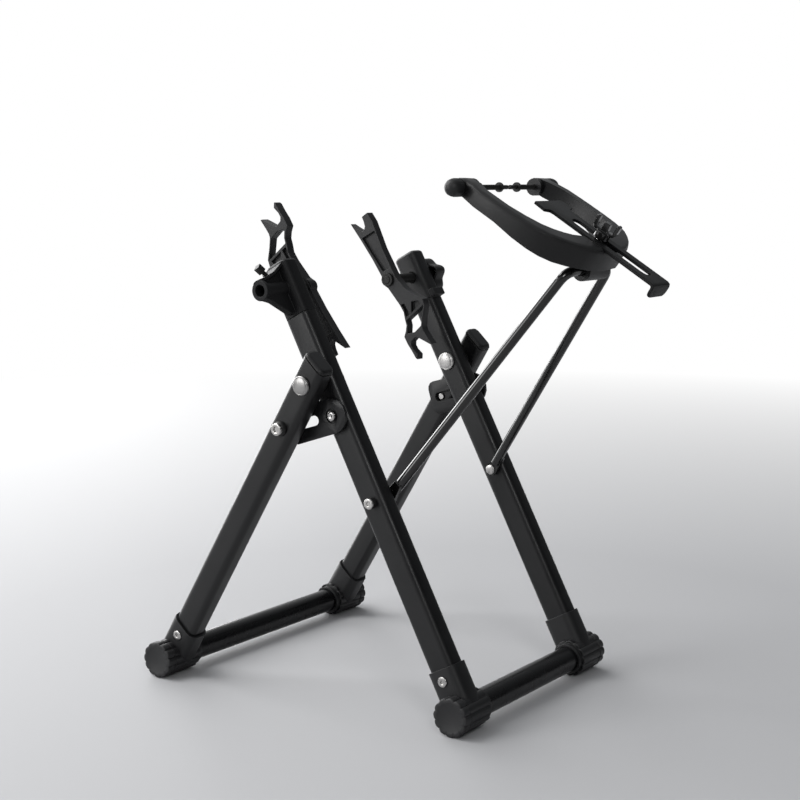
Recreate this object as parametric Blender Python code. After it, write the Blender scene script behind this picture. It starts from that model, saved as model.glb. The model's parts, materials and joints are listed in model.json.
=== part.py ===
"""Folding wheel truing stand: two pairs of legs, wheel holders, and a swinging rim gauge.

Metres, +Z up, origin under the middle of the stand on the floor. The wheel's axle runs along Y, the
front legs' feet are toward +X, and the near side is -Y. Outlines are written in millimetres.
"""
from math import atan2, cos, degrees, hypot, pi, radians, sin

import bmesh
import bpy
from mathutils import Matrix, Vector

# Driving dimensions of the frame
MM = 0.001
GAP = 0.0003
HINGE_X = -0.0601
HINGE_Z = 0.390
FOOT_Z = 0.023
FRONT_FOOT_X = 0.196
REAR_FOOT_X = -0.224
FRONT_LEG_Y = 0.132
REAR_LEG_Y = 0.169
LEG_WIDTH = 0.035
LEG_DEPTH = 0.027
LEG_CORNER = 0.008
LEG_WALL = 0.002
TUBE_RADIUS = 0.016
TUBE_WALL = 0.0018
HINGE_BOLT_RADIUS = 0.005
HINGE_CAP_RADIUS = 0.0117

# Feet and sockets
SOCKET_WALL = 0.003
SOCKET_TOP = 0.054
LEG_START = 0.0205
SLEEVE_SLANT = {"front": 0.0, "rear": 0.0060}
BARREL_RADIUS = 0.0220
BARREL_INNER = {"front": 0.023, "rear": 0.022}
BARREL_OUTER = {"front": 0.019, "rear": 0.024}
COLLAR_RADIUS = 0.0195
COLLAR_LENGTH = 0.006
CAP_RADIUS = 0.023
CAP_THICKNESS = 0.012
CAP_LOBES = 12
SCREW_HEIGHT = {"front": 0.040, "rear": 0.037}
REAR_TOP_SLANT = 0.0075

# Folding stay and the bolts it joins
STAY_PIN_DROP = 0.0427
STOP_BOLT_DROP = 0.063
STAY_THICKNESS = 0.004
STAY_RADIUS = 0.021
STAY_LENGTH = 0.070
STAY_SLOT_WIDTH = 0.012

# Wheel holders
HEAD_BOTTOM = 0.086
HEAD_TOP = 0.1555
BOSS_HEIGHT = 0.1225
BOSS_END_Y = 0.188
SPINDLE_RADIUS = 0.0068
NECK_RADIUS = 0.005
PLATE_HUB_RADIUS = 0.0105
NEAR_PLATE_Y = (0.094, 0.106)
FAR_PLATE_Y = (0.066, 0.078)
STAR_KNOB_Y = (0.1478, 0.1680)
FAR_SPINDLE_END = 0.160

# Gauge arm, yoke and radial slider
ARM_PIVOT = (0.075, 0.254)
ARM_ANGLE = 53.7
ARM_LENGTH = 0.336
ROD_RADIUS = 0.006
ARM_PIVOT_Y = 0.1125
CROSSBAR_HALF = 0.050
YOKE_TILT = 29.5
YOKE_TOP = 0.038
YOKE_HUB_Y = (-0.0155, 0.0315)
FEELER_X = -0.1449
FEELER_Z = 0.0255
SEAT_X = -0.0014
SEAT_Z = 0.0349
SEAT_TILT = 2.1
CHANNEL_HALF = 0.0215
SLIDER_THICKNESS = 0.0037
SLIDER_HALF = 0.0205
CLAMP_X = -0.0035
CLAMP_BOLT_RADIUS = 0.004
WING_TURN = 10

SIDES = {"near": -1, "far": 1}


def clear_scene():
    for thing in list(bpy.data.objects):
        bpy.data.objects.remove(thing)


def make_material(name, color, roughness, metallic=0.0):
    material = bpy.data.materials.new(name)
    material.use_nodes = True
    shader = material.node_tree.nodes["Principled BSDF"]
    shader.inputs["Base Color"].default_value = (*color, 1.0)
    shader.inputs["Roughness"].default_value = roughness
    shader.inputs["Metallic"].default_value = metallic
    return material


# Outlines and sections

def scaled(points):
    return [tuple(value * MM for value in point) for point in points]


def arc(center, radius, start, end, steps):
    return [
        (center[0] + radius * cos(radians(start + (end - start) * i / steps)),
         center[1] + radius * sin(radians(start + (end - start) * i / steps)))
        for i in range(steps + 1)
    ]


def circle(radius, sides, phase=0.0):
    angles = [phase + 2 * pi * i / sides for i in range(sides)]
    return [(radius * cos(angle), radius * sin(angle)) for angle in angles]


def rounded_rectangle(width, depth, corner, steps=3):
    points = []
    for sign_x, sign_y, start in ((1, 1, 0), (-1, 1, 90), (-1, -1, 180), (1, -1, 270)):
        center = (sign_x * (width / 2 - corner), sign_y * (depth / 2 - corner))
        points += arc(center, corner, start, start + 90, steps)
    return points


def slot_outline(start, end, half_width, steps=6):
    return arc((end, 0), half_width, -90, 90, steps) + arc((start, 0), half_width, 90, 270, steps)


def lobed(radius, lobes, valley=0.93, flat=7.0, turn=0.0):
    """Flat-topped lobes with a flat one straight down, so that a round foot stands on a face."""
    points = []
    pitch = 360 / lobes
    for i in range(lobes):
        middle = turn - 90 + i * pitch
        for angle in (middle - flat, middle + flat):
            reach = radius / cos(radians(flat))
            points.append((reach * cos(radians(angle)), reach * sin(radians(angle))))
        dip = radians(middle + pitch / 2)
        points.append((radius * valley * cos(dip), radius * valley * sin(dip)))
    return points


# Meshes

def loft(rings, closed=False):
    """Joins rings of points of equal length into one solid; a ring of one point is a pole."""
    mesh = bmesh.new()
    rows = [[mesh.verts.new(point) for point in ring] for ring in rings]
    pairs = list(zip(rows, rows[1:]))
    if closed:
        pairs.append((rows[-1], rows[0]))
    for lower, upper in pairs:
        count = max(len(lower), len(upper))
        for i in range(count):
            corners = []
            for row, index in ((lower, i), (lower, i + 1), (upper, i + 1), (upper, i)):
                vertex = row[index % len(row)]
                if vertex not in corners:
                    corners.append(vertex)
            mesh.faces.new(corners)
    if not closed:
        for row in (rows[0], rows[-1]):
            if len(row) > 2:
                mesh.faces.new(row)
    return mesh


def turned(profile, sides, closed=False):
    """Turns (y, radius) points about the Y axis."""
    rings = []
    for y, radius in profile:
        if radius == 0:
            rings.append([(0, y, 0)])
        else:
            rings.append([(x, y, z) for x, z in circle(radius, sides)])
    return loft(rings, closed)


def prism(outline, low, high):
    """A closed X-Z outline drawn out along Y."""
    return loft([[(x, y, z) for x, z in outline] for y in (low, high)])


def flat_prism(outline, low, high):
    """A closed X-Y outline drawn out along Z."""
    return loft([[(x, y, z) for x, y in outline] for z in (low, high)])


def side_prism(outline, low, high):
    """A closed Y-Z outline drawn out along X."""
    return loft([[(x, y, z) for y, z in outline] for x in (low, high)])


def slanted(section, z, drop=0.0):
    """A section of a leg at height z, lower by the drop at the leg's +X edge than at its -X edge."""
    return [(x, y, z - drop * (0.5 + x / LEG_WIDTH)) for x, y in section]


def hollow_tube(outer, inner, low, high, drop):
    """A tube along Z between two matching X-Y sections, with a slanted upper end."""
    return loft([slanted(outer, low), slanted(outer, high, drop), slanted(inner, high, drop),
                 slanted(inner, low)], closed=True)


def swept(path, radius, sides):
    """A round rod along a path that lies in the X-Y plane."""
    rings = []
    for i, point in enumerate(path):
        before = Vector(path[max(i - 1, 0)])
        after = Vector(path[min(i + 1, len(path) - 1)])
        ahead = (after - before).normalized()
        across = Vector((-ahead.y, ahead.x))
        stretch = 1.0
        if 0 < i < len(path) - 1:
            bend = (Vector(point) - before).normalized().angle(ahead)
            stretch = 1.0 / cos(bend)
        ring = []
        for u, z in circle(radius, sides):
            ring.append((point[0] + across.x * u * stretch, point[1] + across.y * u * stretch, z))
        rings.append(ring)
    return loft(rings)


def spread(interval, side):
    """The lowest and highest Y of a stretch given as distances from the middle plane."""
    return sorted(value * side for value in interval)


# Objects

def empty(name, parent=None, location=(0, 0, 0), turn_y=0.0):
    holder = bpy.data.objects.new(name, None)
    bpy.context.scene.collection.objects.link(holder)
    holder.parent = parent
    holder.location = location
    holder.rotation_euler = (0, turn_y, 0)
    return holder


def put(name, mesh, parent, location, turn_x=0.0):
    bmesh.ops.recalc_face_normals(mesh, faces=mesh.faces)
    data = bpy.data.meshes.new(name)
    mesh.to_mesh(data)
    mesh.free()
    thing = bpy.data.objects.new(name, data)
    bpy.context.scene.collection.objects.link(thing)
    thing.parent = parent
    thing.location = location
    thing.rotation_euler = (turn_x, 0, 0)
    return thing


def piece(name, mesh, parent, material, location=(0, 0, 0), turn_x=0.0):
    thing = put(name, mesh, parent, location, turn_x)
    thing.data.materials.append(material)
    thing.data.shade_smooth()
    thing.data.set_sharp_from_angle(angle=radians(40))
    return thing


def combine(target, mesh, operation, location, turn_x):
    """Cuts a shape out of the target or joins it on; the tool is drawn in the target's parent's frame."""
    count = len(target.modifiers)
    tool = put(f"{target.name}_{operation.lower()}_{count}", mesh, target.parent, location, turn_x)
    tool.hide_render = True
    tool.display_type = "WIRE"
    modifier = target.modifiers.new(f"{operation.lower()}_{count}", "BOOLEAN")
    modifier.operation = operation
    modifier.solver = "EXACT"
    modifier.object = tool


def cut(target, mesh, location=(0, 0, 0), turn_x=0.0):
    combine(target, mesh, "DIFFERENCE", location, turn_x)


def join(target, mesh, location=(0, 0, 0)):
    combine(target, mesh, "UNION", location, 0.0)


def pin(low, high, radius, sides=12):
    return turned([(low, radius), (high, radius)], sides)


def headed_bolt(parts, side, sides=14):
    """A turned bolt from (distance from the middle plane, radius) points, mirrored to its side."""
    return turned([(y * side, radius) for y, radius in parts], sides)


# Legs, feet and cross tubes

def leg_section(grow=0.0):
    """The leg's outer section, or one that runs at an even distance outside or inside it."""
    return rounded_rectangle(LEG_WIDTH + 2 * grow, LEG_DEPTH + 2 * grow, LEG_CORNER + grow)


def moved(section, y):
    return [(point[0], point[1] + y) for point in section]


def build_leg(name, parent, steel, length, top, y, drop):
    outer = moved(leg_section(), y)
    inner = moved(leg_section(-LEG_WALL), y)
    return piece(name, hollow_tube(outer, inner, LEG_START - length, top, drop), parent, steel)


def drill(target, y, depth, height, radius, x=0.0):
    outline = circle(radius + GAP, 12, 0.11)
    cut(target, prism(outline, y - depth, y + depth), (x, 0, height))


def build_socket(name, parent, plastic, length, y, side, pair):
    """An elbow: a fluted barrel and collar round the cross tube and a sleeve up the leg."""
    inner_end = abs(y) - BARREL_INNER[pair]
    outer_end = abs(y) + BARREL_OUTER[pair]
    low, high = spread((inner_end, outer_end), side)
    flutes = lobed(BARREL_RADIUS, CAP_LOBES, 0.92, turn=degrees(parent.rotation_euler.y))
    outline = [(x, z - length) for x, z in flutes]
    socket = piece(name, prism(outline, low, high), parent, plastic)
    collar = spread((inner_end - COLLAR_LENGTH, inner_end + 0.004), side)
    join(socket, pin(*collar, COLLAR_RADIUS, 20), (0, 0, -length))
    sleeve = moved(leg_section(SOCKET_WALL + GAP), y)
    sleeve_top = slanted(sleeve, SOCKET_TOP - length, SLEEVE_SLANT[pair])
    join(socket, loft([slanted(sleeve, 0.002 - length), sleeve_top]))
    cut(socket, pin(low - 0.01, high + 0.01, TUBE_RADIUS + GAP, 20), (0, 0, -length))
    seat = moved(leg_section(GAP), y)
    cut(socket, flat_prism(seat, LEG_START - GAP - length, SOCKET_TOP + 0.01 - length))
    drill(socket, y + LEG_DEPTH / 2 * side, 0.008, SCREW_HEIGHT[pair] - length, 0.0025)


def build_foot_cap(name, parent, rubber, foot, outer_end, side):
    """A lobed disc on the tube's end with a plug that goes into the tube."""
    low, high = spread((outer_end + GAP, outer_end + CAP_THICKNESS), side)
    cap = piece(name, prism(lobed(CAP_RADIUS, CAP_LOBES), low, high), parent, rubber, foot)
    plug = spread((outer_end - 0.009, outer_end + 0.004), side)
    join(cap, pin(*plug, TUBE_RADIUS - TUBE_WALL - GAP * 2, 16), foot)


def build_cross_tube(name, parent, steel, foot, reach):
    outer = TUBE_RADIUS
    inner = TUBE_RADIUS - TUBE_WALL
    profile = [(-reach, outer), (reach, outer), (reach, inner), (-reach, inner)]
    piece(name, turned(profile, 20, closed=True), parent, steel, foot)


def hex_recess(target, face, side, radius, location):
    """A driver's recess sunk in a bolt head whose flat end lies at the given distance from the middle."""
    cut(target, prism(circle(radius, 6, 0.3), *spread((face - 0.0013, face + 0.001), side)), location)


def build_socket_screw(name, parent, zinc, length, y, side, pair):
    face = abs(y) + LEG_DEPTH / 2 + SOCKET_WALL + GAP
    profile = [(face - 0.009, 0.0025), (face + GAP, 0.0025), (face + GAP, 0.0062),
               (face + 0.0016, 0.0062), (face + 0.0021, 0.0056)]
    location = (0, 0, SCREW_HEIGHT[pair] - length)
    screw = piece(name, headed_bolt(profile, side, 16), parent, zinc, location)
    hex_recess(screw, face + 0.0021, side, 0.0026, location)


def build_leg_set(pair, parent, level, length, top, drop, y_mid, foot_x, steel, plastic, rubber, zinc):
    """One pair of legs with its cross tube, sockets, foot caps and screws."""
    foot = (foot_x, 0, FOOT_Z - HINGE_Z)
    outer_end = y_mid + BARREL_OUTER[pair]
    build_cross_tube(f"{pair}_cross_tube", level, steel, foot, outer_end - GAP)
    legs = {}
    for where, side in SIDES.items():
        y = y_mid * side
        leg = build_leg(f"{pair}_leg_{where}", parent, steel, length, top, y, drop)
        drill(leg, y + LEG_DEPTH / 2 * side, 0.006, SCREW_HEIGHT[pair] - length, 0.0025)
        drill(leg, y, 0.020, 0.0, HINGE_BOLT_RADIUS)
        build_socket(f"{pair}_socket_{where}", parent, plastic, length, y, side, pair)
        build_foot_cap(f"{pair}_foot_cap_{where}", level, rubber, foot, outer_end, side)
        build_socket_screw(f"{pair}_socket_screw_{where}", parent, zinc, length, y, side, pair)
        legs[where] = leg
    return legs


# Hinges and folding stays

def build_hinge(where, side, parent, zinc, nylon):
    """A domed bolt through both legs, a bush between them and a domed nut inside."""
    outside = REAR_LEG_Y + LEG_DEPTH / 2 + GAP
    inside = FRONT_LEG_Y - LEG_DEPTH / 2 - GAP
    between = (FRONT_LEG_Y + LEG_DEPTH / 2 + GAP, REAR_LEG_Y - LEG_DEPTH / 2 - GAP)
    radius = HINGE_BOLT_RADIUS
    cap = HINGE_CAP_RADIUS
    bolt = [(inside - 0.0015, radius), (outside, radius), (outside, cap), (outside + 0.0018, cap),
            (outside + 0.0032, cap * 0.86), (outside + 0.0042, cap * 0.55), (outside + 0.0046, 0)]
    piece(f"hinge_bolt_{where}", headed_bolt(bolt, side, 16), parent, zinc)
    nut = [(inside - 0.0046, 0), (inside - 0.0042, cap * 0.55), (inside - 0.0032, cap * 0.86),
           (inside - 0.0018, cap), (inside, cap)]
    cap_nut = piece(f"hinge_nut_{where}", headed_bolt(nut, side, 16), parent, zinc)
    cut(cap_nut, pin(*spread((inside - 0.002, inside + 0.002), side), radius + GAP))
    bush = [(between[0], radius + GAP), (between[0], 0.010), (between[1], 0.010), (between[1], radius + GAP)]
    piece(f"hinge_bush_{where}", turned([(y * side, r) for y, r in bush], 12, closed=True), parent, nylon)


def stay_direction():
    """Angle in the X-Z plane from the stay's pin to the stop bolt, and the pin's place."""
    front = Vector((-FRONT_FOOT_X, HINGE_Z - FOOT_Z)).normalized()
    rear = Vector((-REAR_FOOT_X, HINGE_Z - FOOT_Z)).normalized()
    pin_place = -front * STAY_PIN_DROP
    bolt_place = -rear * STOP_BOLT_DROP
    reach = bolt_place - pin_place
    return atan2(reach.y, reach.x), pin_place


def stay_outline():
    end = arc((0, 0), STAY_RADIUS, 90, 270, 8)
    corner = 0.010
    half = STAY_RADIUS + 0.0015
    low = arc((STAY_LENGTH - corner, corner - half), corner, -90, 0, 3)
    high = arc((STAY_LENGTH - corner, half - corner), corner, 0, 90, 3)
    return end + low + high


def build_stay(where, side, hinge_line, steel, zinc, front_tilt):
    angle, place = stay_direction()
    swing = empty(f"stay_swing_{where}", hinge_line, (place.x, 0, place.y), -angle)
    middle = (FRONT_LEG_Y + REAR_LEG_Y) / 2
    span = (middle - STAY_THICKNESS / 2, middle + STAY_THICKNESS / 2)
    stay = piece(f"folding_stay_{where}", prism(stay_outline(), *spread(span, side)), swing, steel)
    through = spread((span[0] - 0.002, span[1] + 0.002), side)
    cut(stay, prism(slot_outline(0.0265, 0.056, STAY_SLOT_WIDTH / 2), *through))
    cut(stay, pin(*through, 0.004 + GAP))
    inside = FRONT_LEG_Y + LEG_DEPTH / 2
    profile = [(inside - 0.006, 0.004), (span[1] + GAP, 0.004), (span[1] + GAP, 0.0058),
               (span[1] + 0.0020, 0.0058), (span[1] + 0.0026, 0.0046)]
    shank = headed_bolt(profile, side, 12)
    piece(f"stay_pin_{where}", shank, front_tilt, zinc, (0, 0, -STAY_PIN_DROP))


def build_stop_bolt(where, side, rear_tilt, zinc, plastic):
    """The bolt on the rear leg that guides the stay; its tip stops just short of the plate."""
    face = REAR_LEG_Y + LEG_DEPTH / 2
    tip = REAR_LEG_Y - LEG_DEPTH / 2 - 0.0025
    collar = (face + GAP, face + 0.0055)
    place = (0, 0, -STOP_BOLT_DROP)
    profile = [(tip, 0.004), (collar[1] + GAP, 0.004), (collar[1] + GAP, 0.0075),
               (collar[1] + 0.0030, 0.0075), (collar[1] + 0.0038, 0.0066)]
    bolt = piece(f"stop_bolt_{where}", headed_bolt(profile, side, 16), rear_tilt, zinc, place)
    hex_recess(bolt, collar[1] + 0.0038, side, 0.0040, place)
    ring = [(collar[0], 0.004 + GAP), (collar[0], 0.0092), (collar[1], 0.0080), (collar[1], 0.004 + GAP)]
    shape = turned([(y * side, r) for y, r in ring], 14, closed=True)
    piece(f"stop_bolt_collar_{where}", shape, rear_tilt, plastic, place)


def build_leg_end_cap(where, side, rear_tilt, plastic, top):
    """A domed plug in the open top of the rear leg, slanted as the leg's end is."""
    y = REAR_LEG_Y * side
    rings = []
    for grow, z in ((-LEG_WALL - GAP, top - 0.012), (-LEG_WALL - GAP, top + GAP), (0.0, top + GAP),
                    (0.0, top + 0.0022), (-0.0016, top + 0.0044), (-0.0045, top + 0.0058)):
        rings.append(slanted(moved(leg_section(grow), y), z, REAR_TOP_SLANT))
    piece(f"rear_leg_end_cap_{where}", loft(rings), rear_tilt, plastic)


# Wheel holders

# The near head's bracket: distance from the middle plane, height of the rim's top, half width
HEAD_RIM = ((136, 155.3, 12.2), (145, 152.0, 12.2), (155, 146.2, 12.2), (163, 141.6, 11.5), (171, 138.9, 10),
            (179, 136.5, 7.5), (187.5, 135.2, 5))
RIM_THICKNESS = 0.004


def build_holder_head(where, side, tilt, plastic):
    """A moulding that plugs into the leg top and has the bore of the spindle."""
    y = FRONT_LEG_Y * side
    rings = []
    for grow, z in ((-LEG_WALL - GAP, HEAD_BOTTOM - 0.040), (-LEG_WALL - GAP, HEAD_BOTTOM + GAP),
                    (0.0, HEAD_BOTTOM + GAP), (0.0, HEAD_TOP - 0.003), (-0.003, HEAD_TOP)):
        rings.append([(px, py, z) for px, py in moved(leg_section(grow), y)])
    head = piece(f"holder_head_{where}", loft(rings), tilt, plastic)
    if where == "near":
        build_bracket(head, side)
    else:
        lug = [(0.0150, y - 0.0128), (0.0235, y - 0.0118), (0.0235, y + 0.0118), (0.0150, y + 0.0128)]
        join(head, flat_prism(lug, HEAD_BOTTOM + 0.0005, HEAD_BOTTOM + 0.0105))
    through = spread((FRONT_LEG_Y - 0.02, BOSS_END_Y + 0.01), side)
    cut(head, pin(*through, SPINDLE_RADIUS + GAP, 16), (0, 0, BOSS_HEIGHT))
    return head


def build_bracket(head, side):
    """The near head's outer bracket: a barrel with a collar, a web above and below it, and a rim on top."""
    barrel = [(132, 9.6), (181.5, 9.6), (183.5, 12.3), (188, 12.3)]
    join(head, turned([(py * side, radius) for py, radius in scaled(barrel)], 24), (0, 0, BOSS_HEIGHT))
    web = [(138, 153.5), (144, 150.5), (155, 144.5), (163, 140), (171, 137.3), (179, 135.2), (187.5, 134.5),
           (187.5, 111.5), (177, 107.5), (163, 97.0), (153, 89.5), (138, 89.0)]
    join(head, side_prism([(py * side, pz) for py, pz in scaled(web)], -0.0042, 0.0042))
    rings = []
    for py, pz, half in scaled(HEAD_RIM):
        low = pz - RIM_THICKNESS
        rings.append([(half, py * side, pz), (-half, py * side, pz), (-half, py * side, low), (half, py * side, low)])
    join(head, loft(rings))


def build_pinch_screw(side, tilt, head, steel):
    """The square-headed screw that clamps the near spindle, leaning out of the bracket's rim."""
    place = (0, 0.1645 * side, 0.1400)
    lean = radians(41) * -side
    neck = 0.0026
    square = rounded_rectangle(0.0082, 0.0082, 0.0012, 2)
    screw = piece("pinch_screw_near", flat_prism(square, 0.0080, 0.0175), tilt, steel, place, lean)
    combine(screw, flat_prism(circle(neck, 10), -0.0062, 0.0090), "UNION", place, lean)
    combine(screw, flat_prism(circle(0.0040, 14), 0.0034, 0.0048), "UNION", place, lean)
    cut(head, flat_prism(circle(neck + GAP, 12, 0.11), -0.0068, 0.012), place, lean)


def plate_outline():
    """The double-ended fork plate as it stands on the near side, with its middle on the spindle."""
    wide_fork = [(-23.8, 103.2), (-20.6, 102.2), (-6, 85.2), (-2.3, 85.3), (4.3, 87.4), (6.7, 91.6), (6.2, 97.3),
                 (2.7, 105.9), (4.2, 108.6), (6.4, 112), (8.3, 109)]
    front_edge = [(9.6, 98.1), (11.5, 88.2), (12.1, 76.9), (6.0, 71.2), (1.8, 65.2), (0.2, 56.7), (-2.2, 48.1),
                  (-0.8, 36.3), (6.0, 8.4), (10.7, -34.1), (16.1, -66.1), (20.8, -89.5)]
    small_fork = [(21.4, -92), (19.5, -89.1), (14.6, -82.2), (10.4, -77), (8.5, -74.2), (4.9, -74.5), (1.5, -78.5),
                  (0.4, -84), (0.2, -91.5), (-10.5, -92.5)]
    rear_edge = [(-12.8, -78.5), (-10.5, -40.5), (-12.5, 2), (-19, 22), (-38, 45.8), (-36.7, 54.7), (-27.4, 66.5),
                 (-20.7, 76.9), (-19.8, 81.9), (-21.3, 90.9)]
    return scaled(wide_fork + front_edge + small_fork + rear_edge)


PLATE_WINDOW = ((5, 75.4), (-0.2, 66.6), (-1.7, 60), (-34.2, 53.4), (-26.9, 63.9), (-18.9, 75),
                (-6, 78.4))
OUTER_POCKETS = (
    [(-3.5, 55.7), (-3.4, 50), (-4.9, 46), (-3.4, 38), (-8, 39), (-10, 54.3)],
    [(-13.5, 53.7), (-20, 41.5), (-29.5, 44.5), (-32, 50.2)],
    [(2.5, -13), (7, -36), (12.6, -66), (-9.8, -66), (-7.6, -36), (-6.5, -13)],
)
INNER_POCKETS = (
    [(-5, 53), (-4, 36), (-13, 27), (-30, 45), (-31.5, 49.5)],
    [(2.5, -13), (7, -36), (12.6, -66), (-9.8, -66), (-7.6, -36), (-6.5, -13)],
)
POCKET_DEPTH = 0.0045


def build_dropout_plate(where, side, swing, plastic, span):
    """The same moulding on both sides, with its outer pockets toward -Y."""
    low, high = spread(span, side)
    plate = piece(f"dropout_plate_{where}", prism(plate_outline(), low, high), swing, plastic)
    join(plate, pin(low + 0.0006, high - 0.0006, PLATE_HUB_RADIUS, 20))
    cut(plate, prism(scaled(PLATE_WINDOW), low - 0.002, high + 0.002))
    for pocket in OUTER_POCKETS:
        cut(plate, prism(scaled(pocket), low - 0.002, low + POCKET_DEPTH))
    for pocket in INNER_POCKETS:
        cut(plate, prism(scaled(pocket), high - POCKET_DEPTH, high + 0.002))
    cut(plate, pin(low - 0.002, high + 0.002, NECK_RADIUS + GAP))


def ring_piece(name, span, side, bore, radius, parent, material):
    profile = [(span[0], bore), (span[0], radius), (span[1], radius), (span[1], bore)]
    return piece(name, turned([(y * side, r) for y, r in profile], 14, closed=True), parent, material)


def build_spindle(where, side, boss, plate, shoulder, end, steel):
    neck_end = plate[0] - 0.004
    profile = [(neck_end, NECK_RADIUS - 0.0006), (neck_end + 0.0006, NECK_RADIUS), (shoulder, NECK_RADIUS),
               (shoulder, SPINDLE_RADIUS), (end - 0.0008, SPINDLE_RADIUS), (end, SPINDLE_RADIUS - 0.0008)]
    piece(f"spindle_{where}", headed_bolt(profile, side, 16), boss, steel)
    retainer = (plate[0] - 0.0033, plate[0] - GAP)
    ring_piece(f"plate_retainer_{where}", retainer, side, NECK_RADIUS + GAP, 0.0088, boss, steel)


def build_star_knob(side, boss, plastic):
    """A five-lobed hand knob on the outer end of the threaded spindle."""
    lobes = 5
    outline = []
    sides = 30
    for i in range(sides):
        angle = 2 * pi * i / sides
        reach = 0.0212 + 0.0026 * cos(lobes * angle)
        outline.append((reach * cos(angle), reach * sin(angle)))
    low, high = STAR_KNOB_Y
    rings = []
    for y, grow in ((low, 0.86), (low + 0.002, 1.0), (high - 0.003, 1.0), (high, 0.84)):
        rings.append([(x * grow, y * side, z * grow) for x, z in outline])
    knob = piece("spindle_knob_far", loft(rings), boss, plastic)
    cut(knob, pin(*spread((low - 0.002, FAR_SPINDLE_END + GAP), side), SPINDLE_RADIUS + GAP, 16))


def build_holders(tilt, plastic, steel):
    for where, side in SIDES.items():
        head = build_holder_head(where, side, tilt, plastic)
        boss = empty(f"holder_swing_{where}", tilt, (0, 0, BOSS_HEIGHT))
        plate = NEAR_PLATE_Y if where == "near" else FAR_PLATE_Y
        turned_over = 0.0 if where == "near" else pi
        swing = empty(f"plate_swing_{where}", boss, turn_y=turned_over)
        build_dropout_plate(where, side, swing, plastic, plate)
        if where == "near":
            build_pinch_screw(side, tilt, head, steel)
            build_spindle(where, side, boss, plate, plate[1] + GAP, 0.152, steel)
        else:
            washer = (plate[1] + GAP, plate[1] + 0.0025)
            ring_piece("thrust_washer_far", washer, side, NECK_RADIUS + GAP, 0.011, boss, steel)
            build_spindle(where, side, boss, plate, washer[1] + GAP, FAR_SPINDLE_END, steel)
            build_star_knob(side, boss, plastic)


# Gauge arm, yoke, feelers and radial slider

def in_front_leg_frame(place):
    """A place given from the hinge, as distances in front of and up the front leg's centre line."""
    up = Vector((-FRONT_FOOT_X, HINGE_Z - FOOT_Z)).normalized()
    return place[0] * up.y - place[2] * up.x, place[0] * up.x + place[2] * up.y


def arm_path():
    """The rod's centre line: up the near side, round the cross bar, and down the far side."""
    bend = 0.016
    start = 0.012
    lean = atan2(ARM_PIVOT_Y - CROSSBAR_HALF, ARM_LENGTH)
    center_x = ARM_LENGTH - bend
    center_y = ARM_PIVOT_Y - (bend + sin(lean) * center_x) / cos(lean)
    far_half = [(start, ARM_PIVOT_Y - start * sin(lean) / cos(lean))]
    far_half += arc((center_x, center_y), bend, 90 - degrees(lean), 0, 5)
    return [(x, -y) for x, y in far_half] + far_half[::-1]


def build_gauge_arm(swing, gloss):
    arm = piece("gauge_arm_rod", swept(arm_path(), ROD_RADIUS, 12), swing, gloss)
    for side in SIDES.values():
        eye = arc((0, 0), 0.0085, 90, 270, 6) + scaled([(24, -5.0), (24, 5.0)])
        low, high = spread((ARM_PIVOT_Y - 0.0025, ARM_PIVOT_Y + 0.0035), side)
        join(arm, prism(eye, low, high))
        cut(arm, pin(low - 0.008, high + 0.004, 0.003 + GAP))


def build_arm_pivot(where, side, place, level, zinc, plastic):
    """A shoulder bolt through the front leg, with the arm's eye and a flanged tip inside."""
    face = FRONT_LEG_Y + LEG_DEPTH / 2
    collar = (face + GAP, face + 0.0068)
    tip = ARM_PIVOT_Y - 0.0025 - GAP
    profile = [(tip - 0.0022, 0.0050), (tip - 0.0014, 0.0062), (tip, 0.0062), (tip, 0.003),
               (collar[1] + GAP, 0.003), (collar[1] + GAP, 0.0065), (collar[1] + 0.0020, 0.0065),
               (collar[1] + 0.0026, 0.0052)]
    bolt = piece(f"arm_pivot_bolt_{where}", headed_bolt(profile, side), level, zinc, place)
    hex_recess(bolt, collar[1] + 0.0026, side, 0.0027, place)
    ring_piece(f"arm_pivot_collar_{where}", collar, side, 0.003 + GAP, 0.0064, level, plastic)
    bpy.data.objects[f"arm_pivot_collar_{where}"].location = place


YOKE_STATIONS = (
    # distance along the tilt and half width outside, the same inside, drop of the top, depth of the bottom
    (-155.5, 92, -155.5, 76, 6, 17),
    (-147.5, 95, -147.5, 74, 2, 19),
    (-132.5, 97.2, -132.5, 76, 0, 20),
    (-114.5, 102.5, -116.5, 84, 0, 20),
    (-83.5, 102, -83.5, 85.5, 0, 21),
    (-56.5, 99.5, -60.5, 81, 0, 25),
    (-35.5, 96, -42.5, 74, 0, 27),
    (-20.5, 90, -31.5, 65, 0, 28),
    (-8.5, 78, -23.5, 54, 0, 29),
    (2.5, 63.5, -17.5, 42, 0, 28.5),
    (10.5, 48, -14.5, 28, 0, 28),
    (16, 33, -13, 14, 0, 28),
    (19.5, 0, -12.5, 0, 0, 28),
)


def yoke_ring(outer, inner, drop, depth):
    """A section of the yoke between an outer and an inner point of its plan."""
    edge = 0.006
    top = YOKE_TOP - drop
    outer = Vector(outer)
    inner = Vector(inner)
    across = (outer - inner).normalized()
    points = [
        (inner, top), (outer - across * edge, top),
        (outer - across * edge * 0.3, top - edge * 0.3), (outer, top - edge),
        (outer - across * 0.0015, YOKE_TOP - depth), (inner, YOKE_TOP - depth),
    ]
    return [(p.x, p.y, z) for p, z in points]


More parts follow.
